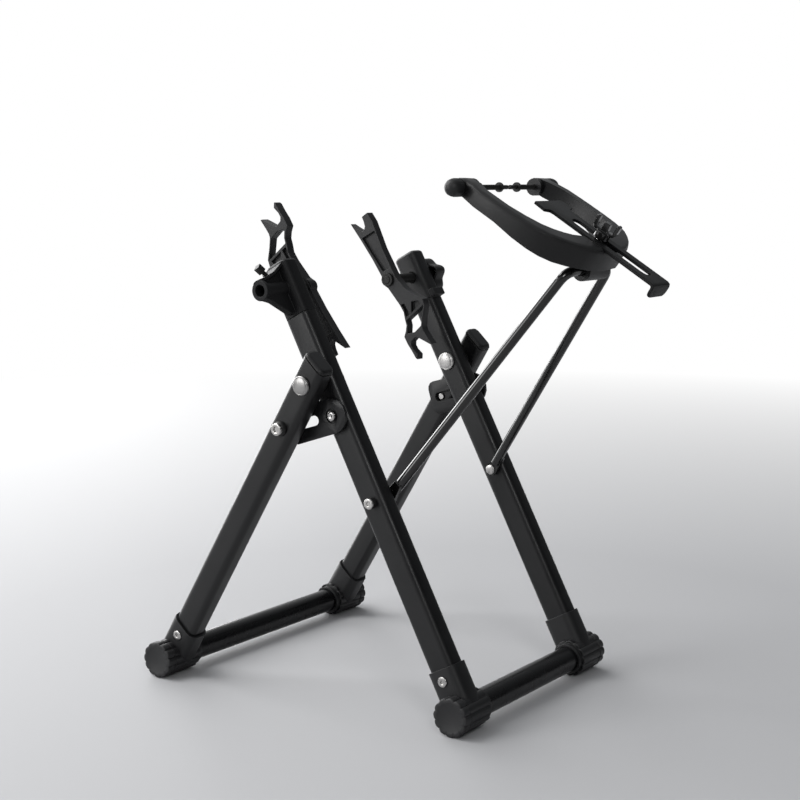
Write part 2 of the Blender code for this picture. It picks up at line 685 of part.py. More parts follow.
def build_yoke(swing, plastic):
    rings = []
    for side in (-1, 1):
        stations = YOKE_STATIONS if side < 0 else YOKE_STATIONS[-2::-1]
        for outer_x, outer_y, inner_x, inner_y, drop, depth in stations:
            outer = (outer_x * MM, outer_y * MM * side)
            inner = (inner_x * MM, inner_y * MM * side)
            rings.append(yoke_ring(outer, inner, drop * MM, depth * MM))
    yoke = piece("gauge_yoke", loft(rings), swing, plastic)
    for side in SIDES.values():
        low, high = spread((0.067, 0.0975), side)
        join(yoke, pin(low, high, 0.0105, 16), (FEELER_X, 0, FEELER_Z))
        cut(yoke, pin(low - 0.01, high + 0.01, 0.0032 + GAP), (FEELER_X, 0, FEELER_Z))
    hub_low, hub_high = YOKE_HUB_Y
    block = scaled([(-10, 20), (14, 20), (9.5, 3), (-9.5, 3)])
    join(yoke, prism(block, hub_low + 0.001, hub_high - 0.001))
    join(yoke, pin(hub_low, hub_high, 0.012, 22))
    cut(yoke, pin(hub_low - 0.005, hub_high + 0.005, ROD_RADIUS + GAP, 14))
    fall = sin(radians(SEAT_TILT)) / cos(radians(SEAT_TILT))
    channel = [(x, SEAT_Z - fall * (x - SEAT_X)) for x in (-0.035, 0.030)] + [(0.030, 0.060), (-0.035, 0.060)]
    cut(yoke, prism(channel, -CHANNEL_HALF, CHANNEL_HALF))
    rings = []
    for rise in (-0.0200, 0.0050):
        middle = SEAT_X + CLAMP_X + fall * rise
        rings.append([(middle + x, y, SEAT_Z + rise) for x, y in circle(CLAMP_BOLT_RADIUS + GAP, 12, 0.11)])
    cut(yoke, loft(rings))


def build_feeler(where, side, swing, zinc, plastic, disc, tip):
    """A rod through the yoke's tip, with a rim disc on its inner end and a knob outside."""
    place = (FEELER_X, 0, FEELER_Z)
    profile = [(tip, 0.0020), (tip + 0.001 * side, 0.0026), (disc - 0.0015 * side, 0.0026),
               (disc - 0.0015 * side, 0.0058), (disc + 0.0015 * side, 0.0058),
               (disc + 0.0015 * side, 0.0032), (0.1040 * side, 0.0032)]
    piece(f"feeler_screw_{where}", turned(profile, 12), swing, zinc, place)
    knob = [(0.0980, 0.0098), (0.0985, 0.0106), (0.1075, 0.0106), (0.1120, 0.0098), (0.1152, 0.0078),
            (0.1174, 0.0045), (0.1180, 0)]
    shape = piece(f"feeler_knob_{where}", headed_bolt(knob, side, 18), swing, plastic, place)
    cut(shape, pin(*spread((0.0960, 0.1046), side), 0.0032 + GAP), place)


def build_slider(seat, steel):
    """The slotted gauge plate, drawn from the clamp bolt's place on the floor of the yoke's channel."""
    bottom = GAP
    top = bottom + SLIDER_THICKNESS
    high, low = top / MM, bottom / MM
    lip = high - 17
    profile = [(-84, high), (85.5, high), (89.0, high - 1.2), (90.2, high - 4.5), (89.8, lip), (86.4, lip),
               (86.5, high - 5.2), (85.4, low), (-84, low)]
    slider = piece("radial_slider", prism(scaled(profile), -0.034, 0.034), seat, steel)
    half = SLIDER_HALF / MM
    corner = 7.0
    for side in SIDES.values():
        trim = [(-93, 28.5), (-67, 31.5), (-64, half + 1), (-61, half), (97, half), (97, 40), (-93, 40)]
        cut(slider, flat_prism([(x, y * side) for x, y in scaled(trim)], -0.020, 0.020))
        rounded = arc((half - corner, lip + corner), corner, 0, -90, 4)
        rounded += [(half - corner, lip - 1), (half + 1, lip - 1), (half + 1, lip + corner)]
        cut(slider, side_prism([(y * side, z) for y, z in scaled(rounded)], 0.084, 0.094))
    cut(slider, flat_prism(slot_outline(-0.0365, 0.063, 0.008, 8), bottom - 0.002, top + 0.002))


def build_clamp(seat, zinc, gloss):
    """The clamp bolt and its wing knob: a round base under a bar with two end wings and a middle block."""
    place = (CLAMP_X, 0, 0)
    foot = GAP + SLIDER_THICKNESS + GAP
    base_top = 0.0135
    bolt_top = 0.0120
    rings = [[(x, y, z) for x, y in circle(CLAMP_BOLT_RADIUS, 12)] for z in (-0.0190, bolt_top)]
    piece("slider_clamp_bolt", loft(rings), seat, zinc, place)
    hub = [(foot, 0.0090), (foot + 0.001, 0.0093), (base_top - 0.001, 0.0093), (base_top, 0.0088)]
    rings = [[(x, y, z) for x, y in circle(radius, 20, 0.05)] for z, radius in hub]
    knob = piece("wing_knob", loft(rings), seat, gloss, place)
    half_bar = [(8, 11), (12.5, 13), (15, 16.5), (15.5, 27), (14, 28.2), (11.3, 28.2), (10.6, 16), (4.2, 15.5),
                (3.6, 24.5)]
    outline = half_bar + [(-x, z) for x, z in half_bar[::-1]]
    bar = prism(scaled(outline), -0.0047, 0.0047)
    bmesh.ops.rotate(bar, verts=bar.verts, matrix=Matrix.Rotation(radians(WING_TURN), 3, "Z"))
    join(knob, bar, place)
    bore = circle(CLAMP_BOLT_RADIUS + GAP, 12, 0.11)
    cut(knob, flat_prism(bore, foot - 0.002, bolt_top + GAP), place)


def build_gauge(hinge_line, legs, plastic, gloss, steel, zinc):
    place = (ARM_PIVOT[0], 0, ARM_PIVOT[1] - HINGE_Z)
    leg_x, leg_z = in_front_leg_frame(place)
    for where, side in SIDES.items():
        drill(legs[where], FRONT_LEG_Y * side, 0.020, leg_z, 0.003, leg_x)
        build_arm_pivot(where, side, place, hinge_line, zinc, plastic)
    swing = empty("gauge_arm_swing", hinge_line, place, -radians(ARM_ANGLE))
    build_gauge_arm(swing, gloss)
    yoke_swing = empty("yoke_swing", swing, (ARM_LENGTH, 0, 0), radians(YOKE_TILT + ARM_ANGLE))
    build_yoke(yoke_swing, plastic)
    build_feeler("near", -1, yoke_swing, zinc, plastic, -0.0110, 0.0065)
    build_feeler("far", 1, yoke_swing, zinc, plastic, 0.0280, 0.0105)
    seat = empty("slider_seat", yoke_swing, (SEAT_X, 0, SEAT_Z), radians(SEAT_TILT))
    build_slider(seat, steel)
    build_clamp(seat, zinc, gloss)


def build():
    clear_scene()
    steel = make_material("black_powder_coat", (0.018, 0.018, 0.019), 0.42)
    gloss = make_material("gloss_black", (0.012, 0.012, 0.012), 0.18)
    plastic = make_material("charcoal_plastic", (0.045, 0.045, 0.047), 0.55)
    rubber = make_material("foot_rubber", (0.040, 0.040, 0.041), 0.72)
    nylon = make_material("black_nylon", (0.020, 0.020, 0.020), 0.5)
    zinc = make_material("zinc_plated_steel", (0.62, 0.61, 0.58), 0.28, 1.0)
    gunmetal = make_material("dark_steel", (0.09, 0.088, 0.082), 0.45, 0.6)

    stand = empty("stand", None, (HINGE_X, 0, 0))
    hinge_line = empty("hinge_line", stand, (0, 0, HINGE_Z))
    rise = HINGE_Z - FOOT_Z
    front_length = hypot(FRONT_FOOT_X, rise)
    rear_length = hypot(REAR_FOOT_X, rise)
    front_tilt = empty("front_frame_tilt", hinge_line, turn_y=-atan2(FRONT_FOOT_X, rise))
    rear_tilt = empty("rear_frame_tilt", hinge_line, turn_y=atan2(-REAR_FOOT_X, rise))

    front_legs = build_leg_set("front", front_tilt, hinge_line, front_length, HEAD_BOTTOM, 0.0, FRONT_LEG_Y,
                               FRONT_FOOT_X, steel, plastic, rubber, zinc)
    rear_top = 0.032
    rear_legs = build_leg_set("rear", rear_tilt, hinge_line, rear_length, rear_top, REAR_TOP_SLANT, REAR_LEG_Y,
                              REAR_FOOT_X, steel, plastic, rubber, zinc)
    for where, side in SIDES.items():
        build_hinge(where, side, hinge_line, zinc, nylon)
        drill(front_legs[where], (FRONT_LEG_Y + LEG_DEPTH / 2) * side, 0.010, -STAY_PIN_DROP, 0.004)
        drill(rear_legs[where], REAR_LEG_Y * side, 0.020, -STOP_BOLT_DROP, 0.004)
        build_stay(where, side, hinge_line, steel, zinc, front_tilt)
        build_stop_bolt(where, side, rear_tilt, zinc, plastic)
        build_leg_end_cap(where, side, rear_tilt, plastic, rear_top)
    build_holders(front_tilt, plastic, gunmetal)
    build_gauge(hinge_line, front_legs, plastic, gloss, gunmetal, zinc)


build()
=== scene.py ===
import json
from math import cos, pi, radians, sin

import bmesh
import bpy
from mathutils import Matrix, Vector


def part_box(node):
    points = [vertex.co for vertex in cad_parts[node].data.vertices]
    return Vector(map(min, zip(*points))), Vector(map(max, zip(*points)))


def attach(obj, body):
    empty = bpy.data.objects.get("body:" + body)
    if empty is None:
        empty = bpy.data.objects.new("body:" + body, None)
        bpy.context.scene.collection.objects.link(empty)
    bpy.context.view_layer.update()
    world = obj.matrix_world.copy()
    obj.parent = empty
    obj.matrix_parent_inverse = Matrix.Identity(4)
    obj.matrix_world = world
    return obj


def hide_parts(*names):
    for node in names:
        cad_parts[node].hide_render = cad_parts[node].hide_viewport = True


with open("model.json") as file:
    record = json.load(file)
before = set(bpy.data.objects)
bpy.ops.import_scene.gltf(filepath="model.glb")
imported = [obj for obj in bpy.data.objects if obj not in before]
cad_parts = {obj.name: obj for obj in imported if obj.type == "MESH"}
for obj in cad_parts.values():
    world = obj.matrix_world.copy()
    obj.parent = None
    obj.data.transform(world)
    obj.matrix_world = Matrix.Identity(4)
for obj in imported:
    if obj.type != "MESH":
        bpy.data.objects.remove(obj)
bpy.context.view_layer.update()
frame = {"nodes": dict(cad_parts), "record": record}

NODES = frame["nodes"]
SIDES = {"near": -1, "far": 1}
BODY_OF_PAIR = {"front": "front_frame", "rear": "rear_frame"}
MM = 0.001

# The finishes' noise: clouds wander over centimetres, grain is fine
NOISE_SPAN = (0.35, 0.65)
CLOUD_SCALE = 26
CLOUD_DETAIL = 3
CLOUD_SHARE = 0.55
GRAIN_DETAIL = 2
GRAIN_SHARE = 0.45
ROUGH_SPREAD = 0.05
COAT_ROUGHNESS = 0.12

# Edges: the angles from which one counts as sharp, and how wide it is rounded
WELD_DISTANCE = 0.01 * MM
FLAT_ANGLE = radians(1)
STAY_SHARP_ANGLE = radians(30)
SHARP_ANGLE = radians(35)
LOBE_SHARP_ANGLE = radians(40)
GRIP_SHARP_ANGLE = radians(50)
EDGE_SEGMENTS = 3
STAY_EDGE_SEGMENTS = 2
USUAL_EDGE = 0.5 * MM
STAY_EDGE = 0.6 * MM
EDGES = {
    "pinch_screw_near": 0.3 * MM,
    "radial_slider": 0.7 * MM,
    "gauge_yoke": 2.4 * MM,
    "holder_head_near": 0.8 * MM,
    "holder_head_far": 1.2 * MM,
    "rear_leg_end_cap_near": 1.2 * MM,
    "rear_leg_end_cap_far": 1.2 * MM,
    "wing_knob": 1.0 * MM,
    "dropout_plate_near": 0.8 * MM,
    "dropout_plate_far": 0.8 * MM,
}

# Points round a ring
ROUND = 48
TUBE_ROUND = 96
GRIP_ROUND = 120
LOBE_ROUND = 144
FEELER_ROUND = 30
SPINDLE_ROUND = 40

# Bolts, screws and collars: heads, shanks, recesses and bores are radii
HINGE_CAP = 4.6 * MM
HINGE_SHANK = 5.0 * MM
HINGE_NUT_BORE = 5.3 * MM
# A hinge cap's dome as depths below its top in millimetres, with shares of its radius
HINGE_CAP_STEPS = ((0.0, 0.0), (0.1, 0.25), (0.32, 0.5), (0.72, 0.72), (1.02, 0.80), (1.32, 0.822),
                   (1.34, 0.862), (1.12, 0.885), (1.42, 0.94), (2.0, 0.98), (2.7, 1.0))
STOP_BOLT = {"head": 7.5 * MM, "thickness": 3.5 * MM, "shank": 4.0 * MM, "recess": 4.0 * MM,
             "depth": 1.8 * MM}
SOCKET_SCREW = {"head": 6.2 * MM, "thickness": 1.8 * MM, "shank": 2.5 * MM, "recess": 2.6 * MM,
                "depth": 1.3 * MM}
PIVOT_SCREW = {"thickness": 2.3 * MM, "radius": 6.5 * MM, "recess": 2.7 * MM, "depth": 1.3 * MM}
PIVOT_SHANK = 3.0 * MM
PIVOT_NUT = 6.2 * MM
PIVOT_NUT_HEIGHT = 2.2 * MM
STAY_PIN = {"head": 5.8 * MM, "shank": 4.0 * MM}
STOP_COLLAR = {"bore": 4.3 * MM, "outer_share": 0.88}
PIVOT_COLLAR = {"bore": 3.3 * MM, "outer_share": 0.96}
# A driver's recess: its sides, and how much wider it is below and at its mouth
HEXAGON = 6
LIP = 1.10
LIP_BEVEL = 1.08

# Screw threads and grips
FEELER_PITCH = 0.0013333
FEELER_STARTS = 3
FEELER_RADIUS = 3.2 * MM
FEELER_THREAD = 0.35 * MM
FEELER_NECK = 2.6 * MM
FEELER_DISC = 5.8 * MM
# Where each feeler's point and rim disc are, from the middle plane towards the feeler's side
FEELERS = {
    "near": {"point": -6.5 * MM, "disc": 11.0 * MM},
    "far": {"point": 10.5 * MM, "disc": 28.0 * MM},
}
SPINDLE_PITCH = 3.0 * MM
SPINDLE_THREAD = 0.6 * MM
SPINDLE_NECK = 5.0 * MM
STATIONS_PER_PITCH = 5
THREAD_STEEPNESS = 1.6
KNOB_BORE = 3.5 * MM
KNOB_BORE_DEPTH = 6.6 * MM
KNOB_RIBS = 30
KNOB_RIB_HEIGHT = 0.45 * MM
KNOB_BAND = (0.9 * MM, 8.6 * MM)
KNOB_BAND_STATIONS = 16
KNOB_DOME = 9.3 * MM
KNOB_DOME_STEPS = 8
STAR_TURN = radians(28.1)
STAR_LOBES = 5
STAR_LOBE_HEIGHT = 2.6 * MM
STAR_RADIUS = 21.2 * MM
STAR_BORE = 7.1 * MM

# Feet and tubes
TUBE_WALL = 1.8 * MM
TUBE_CHAMFER = 0.4 * MM
CAP_LOBES = 12
LOBE_POWER = 0.55
CAP_LOBE_DEPTH = 2.0 * MM
CAP_THICKNESS = 11.7 * MM
CAP_PLUG = 13.6 * MM
FLUTE_DEPTH = 1.8 * MM
FLUTE_RADIUS = 22.6 * MM
FLUTE_BORE = 17.5 * MM
FLUTES_FROM_SLEEVE = 6 * MM
FLUTES_FROM_CAP = 0.1 * MM

# Surroundings, with distances in metres and spans of how far a direction faces the window
WHITE = (1, 1, 1, 1)
FLOOR_REACH = 40.0
FLOOR_TONE = (0.52, 0.52, 0.53, 1)
FLOOR_ROUGHNESS = 0.75
FLOOR_FADE = (0.7, 3.2)
FLOOR_MIRRORED = 0.3
AMBIENT_TONE = (0.94, 0.97, 1.0, 1)
AMBIENT_STRENGTH = (0.04, 0.52)
WINDOW_DIRECTION = (-0.85, -0.25, 0.45)
AMBIENT_SPAN = (-0.7, 0.9)
MIRRORED_SPAN = (0.1, 0.95)
LAMPS = {
    "window": {"place": (-2.8, 1.0, 1.0), "height": 0.3, "power": 75, "size": (2.4, 2.4)},
    "overhead": {"place": (-1.6, -0.7, 2.5), "height": 0.2, "power": 40, "size": (1.5, 1.5)},
    "front": {"place": (-1.65, -2.5, 1.05), "height": 0.4, "power": 21, "size": (1.4, 1.3)},
    "fill": {"place": (1.5, -1.35, 1.55), "height": 0.3, "power": 9, "size": (0.6, 0.6)},
}
# The photograph's camera, with its sensor and lens in millimetres and its angles in degrees
CAMERA_SENSOR = 36.0
CAMERA_LENS = 68.69
CAMERA_PLACE = (1.0625, -1.5407, 0.6269)
CAMERA_DOWN = 8.2073
CAMERA_ROUND = 35.8553


# Materials

def shader_nodes(name):
    """A new material, its node tree and its shader."""
    material = bpy.data.materials.new(name)
    material.use_nodes = True
    tree = material.node_tree
    return material, tree, tree.nodes["Principled BSDF"]


def link(tree, source, output, target, socket):
    tree.links.new(source.outputs[output], target.inputs[socket])


def noise(tree, coordinates, scale, detail):
    node = tree.nodes.new("ShaderNodeTexNoise")
    node.inputs["Scale"].default_value = scale
    node.inputs["Detail"].default_value = detail
    link(tree, coordinates, "Object", node, "Vector")
    return node


def ranged(tree, source, output, span, low, high):
    """Maps a span of a node's output to the values between low and high."""
    node = tree.nodes.new("ShaderNodeMapRange")
    node.inputs["From Min"].default_value = span[0]
    node.inputs["From Max"].default_value = span[1]
    node.inputs["To Min"].default_value = low
    node.inputs["To Max"].default_value = high
    link(tree, source, output, node, "Value")
    return node


def arithmetic(tree, operation):
    node = tree.nodes.new("ShaderNodeMath")
    node.operation = operation
    return node


def surface(name, color, rough, metallic=0.0, specular=0.5, coat=0.0, spread=0.12,
            grain=1400, depth=0.02 * MM, bump=0.35):
    """A procedural finish: tone and sheen that wander over centimetres, and a fine grain in relief.

    spread is how far the tone wanders, grain the scale of the relief's noise, depth its height and
    bump its strength.
    """
    material, tree, shader = shader_nodes(name)
    shader.inputs["Metallic"].default_value = metallic
    shader.inputs["Coat Weight"].default_value = coat
    shader.inputs["Coat Roughness"].default_value = COAT_ROUGHNESS
    shader.inputs["Specular IOR Level"].default_value = specular
    coordinates = tree.nodes.new("ShaderNodeTexCoord")
    clouds = noise(tree, coordinates, CLOUD_SCALE, CLOUD_DETAIL)
    fine = noise(tree, coordinates, grain, GRAIN_DETAIL)
    tone = tree.nodes.new("ShaderNodeMix")
    tone.data_type = "RGBA"
    tone.inputs["A"].default_value = (*[c * (1 - spread) for c in color], 1)
    tone.inputs["B"].default_value = (*[c * (1 + spread) for c in color], 1)
    both = arithmetic(tree, "MULTIPLY_ADD")
    both.inputs[1].default_value = GRAIN_SHARE
    link(tree, fine, "Fac", both, 0)
    shifted = ranged(tree, clouds, "Fac", NOISE_SPAN, 0.0, CLOUD_SHARE)
    link(tree, shifted, "Result", both, 2)
    link(tree, both, "Value", tone, "Factor")
    link(tree, tone, "Result", shader, "Base Color")
    sheen = ranged(tree, clouds, "Fac", NOISE_SPAN, rough - ROUGH_SPREAD, rough + ROUGH_SPREAD)
    link(tree, sheen, "Result", shader, "Roughness")
    relief = tree.nodes.new("ShaderNodeBump")
    relief.inputs["Strength"].default_value = bump
    relief.inputs["Distance"].default_value = depth
    link(tree, fine, "Fac", relief, "Height")
    link(tree, relief, "Normal", shader, "Normal")
    return material


POWDER = surface("powder_coat", color=(0.0060, 0.0060, 0.0066), rough=0.36, specular=0.42,
                 grain=1500, depth=0.03 * MM, bump=0.25)
SATIN = surface("satin_black_tube", color=(0.0040, 0.0040, 0.0045), rough=0.28, specular=0.30,
                grain=1200, depth=0.01 * MM, bump=0.2)
GLOSS = surface("gloss_black_paint", color=(0.0040, 0.0040, 0.0040), rough=0.16, coat=0.3,
                grain=900, depth=0.01 * MM, bump=0.15)
PLASTIC = surface("charcoal_plastic", color=(0.0090, 0.0090, 0.0098), rough=0.48, specular=0.45,
                  grain=2600, depth=0.04 * MM, bump=0.5)
HEAD_PLASTIC = surface("head_plastic", color=(0.0088, 0.0088, 0.0095), rough=0.54, specular=0.24,
                       grain=2600, depth=0.04 * MM, bump=0.3)
YOKE_PLASTIC = surface("yoke_plastic", color=(0.0060, 0.0060, 0.0064), rough=0.40, specular=0.36,
                       grain=2200, depth=0.05 * MM, bump=0.6)
RUBBER = surface("foot_rubber", color=(0.0130, 0.0130, 0.0140), rough=0.56, spread=0.2,
                 grain=1800, depth=0.05 * MM, bump=0.5)
NYLON = surface("black_nylon", color=(0.0080, 0.0080, 0.0080), rough=0.50)
ZINC = surface("zinc_plate", color=(0.50, 0.49, 0.48), rough=0.28, metallic=1.0, spread=0.08,
               grain=900, depth=0.01 * MM, bump=0.2)
DULL_ZINC = surface("dull_zinc_plate", color=(0.34, 0.335, 0.33), rough=0.33, metallic=1.0,
                    spread=0.08, grain=900, depth=0.01 * MM, bump=0.2)
PAINTED_PLATE = surface("painted_plate", color=(0.0050, 0.0050, 0.0054), rough=0.42, specular=0.18,
                        grain=1700, depth=0.02 * MM, bump=0.3)
DARK_STEEL = surface("dark_steel", color=(0.0140, 0.0137, 0.0130), rough=0.40, metallic=0.1,
                     specular=0.30, grain=1500, depth=0.02 * MM, bump=0.3)

BY_SLOT = {
    "black_powder_coat": POWDER,
    "gloss_black": GLOSS,
    "charcoal_plastic": PLASTIC,
    "foot_rubber": RUBBER,
    "black_nylon": NYLON,
    "zinc_plated_steel": ZINC,
    "dark_steel": DARK_STEEL,
}
BY_NODE = {
    "gauge_yoke": YOKE_PLASTIC,
    "front_cross_tube": SATIN,
    "rear_cross_tube": SATIN,
    "radial_slider": PAINTED_PLATE,
    "holder_head_near": HEAD_PLASTIC,
}


# The carried nodes

def add_weld(thing):
    weld = thing.modifiers.new("weld", "WELD")
    weld.merge_threshold = WELD_DISTANCE


def add_bevel(thing, width, segments, angle, clamp=True):
    """Rounds the edges where faces meet at more than an angle."""
    bevel = thing.modifiers.new("edges", "BEVEL")
    bevel.width = width
    bevel.segments = segments
    bevel.limit_method = "ANGLE"
    bevel.angle_limit = angle
    bevel.harden_normals = True
    bevel.use_clamp_overlap = clamp


def dress(node, material, width):
    """Gives a carried node its finish, rounded edges and even shading.

    Only the yoke's rounding is clamped: it is wide, and would distort the thin end of a horn.
    """
    thing = NODES[node]
    thing.data.materials.clear()
    thing.data.materials.append(material)
    thing.data.shade_smooth()
    add_weld(thing)
    faces = thing.modifiers.new("whole_faces", "DECIMATE")
    faces.decimate_type = "DISSOLVE"
    faces.angle_limit = FLAT_ANGLE
    add_bevel(thing, width, EDGE_SEGMENTS, SHARP_ANGLE, clamp=node == "gauge_yoke")
    even = thing.modifiers.new("even_shading", "WEIGHTED_NORMAL")
    even.keep_sharp = True


for part in frame["record"]["subparts"]:
    node = part["node"]
    finish = BY_NODE.get(node, BY_SLOT[part["material_slot"]])
    dress(node, finish, EDGES.get(node, USUAL_EDGE))


# Skins and profiles for pieces with more detail than the solids they stand for

def sections(rings, loop=False):
    """A closed skin over rings of points; a ring that has closed to its middle is one point."""
    mesh = bmesh.new()
    made = [[mesh.verts.new(point) for point in ring] for ring in rings]
    pairs = list(zip(made, made[1:]))
    if loop:
        pairs.append((made[-1], made[0]))
    for first, second in pairs:
        count = max(len(first), len(second))
        for i in range(count):
            corners = [first[i % len(first)], first[(i + 1) % len(first)],
                       second[(i + 1) % len(second)], second[i % len(second)]]
            mesh.faces.new(list(dict.fromkeys(corners)))
    if not loop:
        for end in (made[0], made[-1]):
            if len(end) > 1:
                mesh.faces.new(end)
    bmesh.ops.recalc_face_normals(mesh, faces=mesh.faces)
    return mesh


def add_object(name, data):
    thing = bpy.data.objects.new(name, data)
    bpy.context.scene.collection.objects.link(thing)
    return thing


def as_data(name, mesh):
    """Turns a bmesh into mesh data and frees it."""
    data = bpy.data.meshes.new(name)
    mesh.to_mesh(data)
    mesh.free()
    return data


def piece(name, mesh, material, body, nodes, crease=SHARP_ANGLE):
    """Adds a skin as a piece that rides on a body and stands for the nodes named."""
    data = as_data(name, mesh)
    data.shade_smooth()
    data.set_sharp_from_angle(angle=crease)
    data.materials.append(material)
    thing = add_object(name, data)
    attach(thing, body)
    if nodes:
        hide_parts(*nodes)


def polygon_reach(sides, angle):
    """How far a regular polygon reaches at an angle, as a share of its corners' distance."""
    step = 2 * pi / sides
    return cos(step / 2) / cos((angle % step) - step / 2)


def across(node):
    """The middle of a node in X and Z, its radius, and how near and how far it reaches in Y."""
    low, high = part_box(node)
    middle = ((low[0] + high[0]) / 2, (low[2] + high[2]) / 2)
    reach = sorted((abs(low[1]), abs(high[1])))
    return middle, max(high[0] - low[0], high[2] - low[2]) / 2, reach


def round_rings(middle, side, profile, count=ROUND, wave=None):
    """Rings about a line along Y.

    A profile entry is a distance in Y from the middle plane, a radius and, in a recess, the number
    of its sides. A wave adds to the radius, by distance and angle.
    """
    rings = []
    for entry in profile:
        y, radius = entry[:2]
        sides = entry[2] if len(entry) > 2 else 0
        if radius == 0:
            rings.append([(middle[0], y * side, middle[1])])
            continue
        ring = []
        for i in range(count):
            angle = 2 * pi * i / count
            reach = radius * (polygon_reach(sides, angle) if sides else 1.0)
            if wave:
                reach += wave(y, angle)
            ring.append((middle[0] + reach * cos(angle), y * side, middle[1] + reach * sin(angle)))
        rings.append(ring)
    return rings


def turned(node, body, side, profile, material, count=ROUND, loop=False, wave=None,
           crease=SHARP_ANGLE):
    """A piece turned about a node's own middle line, which stands for that node."""
    middle = across(node)[0]
    mesh = sections(round_rings(middle, side, profile, count, wave), loop)
    piece(node + "_turned", mesh, material, body, (node,), crease)


def tip(end, radius, chamfer):
    """The last stations of a round bar whose inner end is chamfered."""
    return [(end + chamfer, radius), (end, radius - chamfer), (end, 0)]


def ribbed(ribs, depth, first, last):
    """A wave of fine ribs round a grip, between two places along it."""
    def wave(y, angle):
        return depth * (0.5 + 0.5 * cos(ribs * angle)) if first <= y <= last else 0.0
    return wave


def threaded(pitch, starts, depth, side, first, last):
    """A wave that cuts a screw thread between two places; its lead is pitch times starts."""
    def wave(y, angle):
        if not first < y < last:
            return 0.0
        turn = (y / pitch - starts * side * angle / (2 * pi)) % 1.0
        return -depth * min(1.0, THREAD_STEEPNESS * abs(2 * turn - 1))
    return wave


def thread_stations(first, last, pitch, radius):
    """Stations close enough along a thread to show its turns."""
    count = max(2, int((last - first) / pitch * STATIONS_PER_PITCH))
    return [(first + (last - first) * i / count, radius) for i in range(count + 1)]


def lobes(depth):
    """A wave of rounded lobes with narrow valleys between them."""
    def wave(_, angle):
        return -depth * (1 - abs(cos(CAP_LOBES * angle / 2)) ** LOBE_POWER)
    return wave


# Bolts, screws and collars

def domed_cap(outer, thickness, radius):
    """A cap with a shallow dome, a groove round it and a soft rim, from middle to underside."""
    dome = [(outer - depth * MM, radius * share) for depth, share in HINGE_CAP_STEPS]
    return dome + [(outer - thickness, radius)]


def socket_head(outer, thickness, radius, recess, depth):
    """A flat head with a chamfered rim and a driver's recess, from its floor to the underside."""
    lip = recess * LIP
    return [(outer - depth, 0.0), (outer - depth, recess, HEXAGON),
            (outer - 0.35 * MM, recess, HEXAGON), (outer - 0.05 * MM, lip),
            (outer, lip * LIP_BEVEL), (outer, radius - 1.0 * MM),
            (outer - 0.3 * MM, radius - 0.35 * MM), (outer - 0.9 * MM, radius),
            (outer - thickness, radius)]


def make_hinge(where, side):
    """A hinge's domed bolt, and its domed nut with a bore for the bolt's end."""
    bolt = "hinge_bolt_" + where
    radius, (inner, outer) = across(bolt)[1:]
    profile = domed_cap(outer, HINGE_CAP, radius)
    profile += [(outer - HINGE_CAP, HINGE_SHANK)] + tip(inner, HINGE_SHANK, 0.6 * MM)
    turned(bolt, "front_frame", side, profile, DULL_ZINC)
    nut = "hinge_nut_" + where
    radius, (inner, outer) = across(nut)[1:]
    profile = [(2 * inner - y, r) for y, r in domed_cap(inner, HINGE_CAP, radius)]
    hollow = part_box(bolt)
    floor = min(abs(hollow[0][1]), abs(hollow[1][1])) - 0.4 * MM
    profile += [(outer, HINGE_NUT_BORE), (floor, HINGE_NUT_BORE), (floor, 0)]
    turned(nut, "front_frame", side, profile, ZINC)


def make_bolt(node, body, side, head, thickness, shank, recess, depth):
    """A bolt with a flat recessed head and a chamfered inner end."""
    inner, outer = across(node)[2]
    profile = socket_head(outer, thickness, head, recess, depth)
    profile += [(outer - thickness, shank)] + tip(inner, shank, 0.5 * MM)
    turned(node, body, side, profile, ZINC)


def make_collar(node, body, side, bore, outer_share):
    """A ring with soft edges that narrows outward to a share of its radius."""
    radius, (inner, outer) = across(node)[1:]
    rim = radius * outer_share
    profile = [(inner, bore), (inner, radius - 0.4 * MM), (inner + 0.4 * MM, radius),
               (inner + 1.6 * MM, radius * 0.99), (outer - 0.5 * MM, rim), (outer, rim - 0.5 * MM),
               (outer, bore)]
    turned(node, body, side, profile, NYLON, loop=True)


def make_rivet(node, body, side, head, shank):
    """A round pin with a soft head that is dished in its middle."""
    inner, outer = across(node)[2]
    profile = [(outer - 0.5 * MM, 0), (outer - 0.45 * MM, head * 0.30),
               (outer - 0.1 * MM, head * 0.42), (outer, head * 0.55),
               (outer - 0.15 * MM, head * 0.75), (outer - 0.6 * MM, head * 0.93),
               (outer - 1.2 * MM, head), (outer - 2.6 * MM, head), (outer - 2.6 * MM, shank),
               (inner, shank), (inner, 0)]
    turned(node, body, side, profile, ZINC)


def make_arm_pivot(where, side):
    """The screw on which the gauge arm turns, with the nut on its inner end, and its collar."""
    node = "arm_pivot_bolt_" + where
    inner, outer = across(node)[2]
    back = inner + PIVOT_NUT_HEIGHT
    profile = [(inner, 0), (inner, PIVOT_NUT - 1.6 * MM), (inner + 0.5 * MM, PIVOT_NUT - 0.4 * MM),
               (inner + 1.0 * MM, PIVOT_NUT), (back, PIVOT_NUT), (back, PIVOT_SHANK),
               (outer - PIVOT_SCREW["thickness"], PIVOT_SHANK)]
    profile += socket_head(outer, **PIVOT_SCREW)[::-1]
    turned(node, "front_frame", side, profile, ZINC)
    make_collar("arm_pivot_collar_" + where, "front_frame", side, **PIVOT_COLLAR)


# Screws and grips

